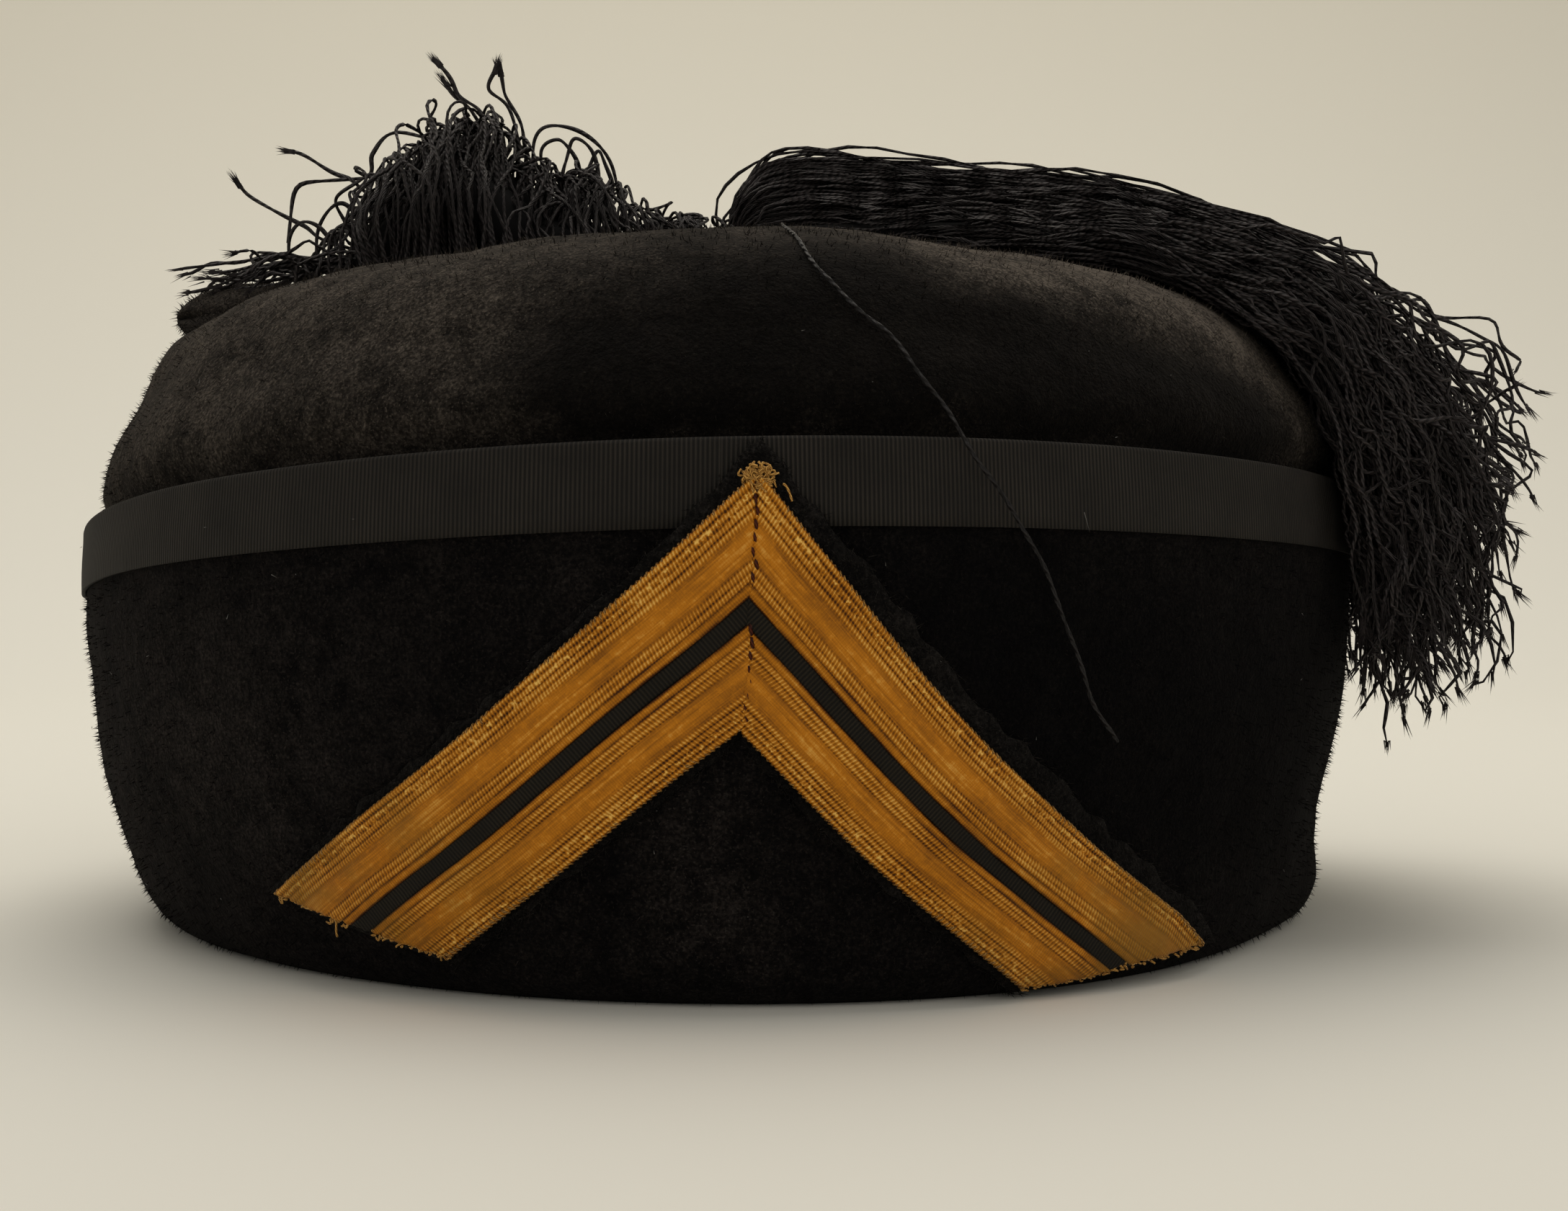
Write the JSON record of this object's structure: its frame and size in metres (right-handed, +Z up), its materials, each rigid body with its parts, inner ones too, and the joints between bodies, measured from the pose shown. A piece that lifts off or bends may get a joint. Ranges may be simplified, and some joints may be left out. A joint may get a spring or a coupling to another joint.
{
  "type": "fez",
  "caption": "Soft black plush fez with a turned-up cuff, ribbon-bound edge, gold braid chevron in front and a long thread tassel falling over the right side.",
  "frame": {"origin": "middle of the whole outline seen from above, tassel included, on the plane the rim rests on", "axes": "+Z up out of the crown, -Y towards the front with the chevron, +X towards the side the tassel falls over"},
  "size_m": [0.2546, 0.213, 0.1435],
  "materials": {
    "plush": "long-nap plush felt, very dark brown-black, matt",
    "cuff_plush": "dense blue-black plush felt, matt",
    "ribbon": "ribbed silk ribbon, soft sheen",
    "felt": "black wool felt with a fuzzy cut edge",
    "gold_braid": "gold silk braid, satin",
    "stripe": "black woven stripe with gold flecks",
    "fringe": "twisted black silk threads, soft sheen"
  },
  "bodies": {
    "root": {"crown": "plush", "cuff": "cuff_plush", "ribbon_binding": "ribbon", "chevron_felt": "felt", "braid_outer_left": "gold_braid", "braid_inner_left": "gold_braid", "stripe_left": "stripe", "braid_outer_right": "gold_braid", "braid_inner_right": "gold_braid", "stripe_right": "stripe", "tassel": "fringe"}
  },
  "joints": []
}
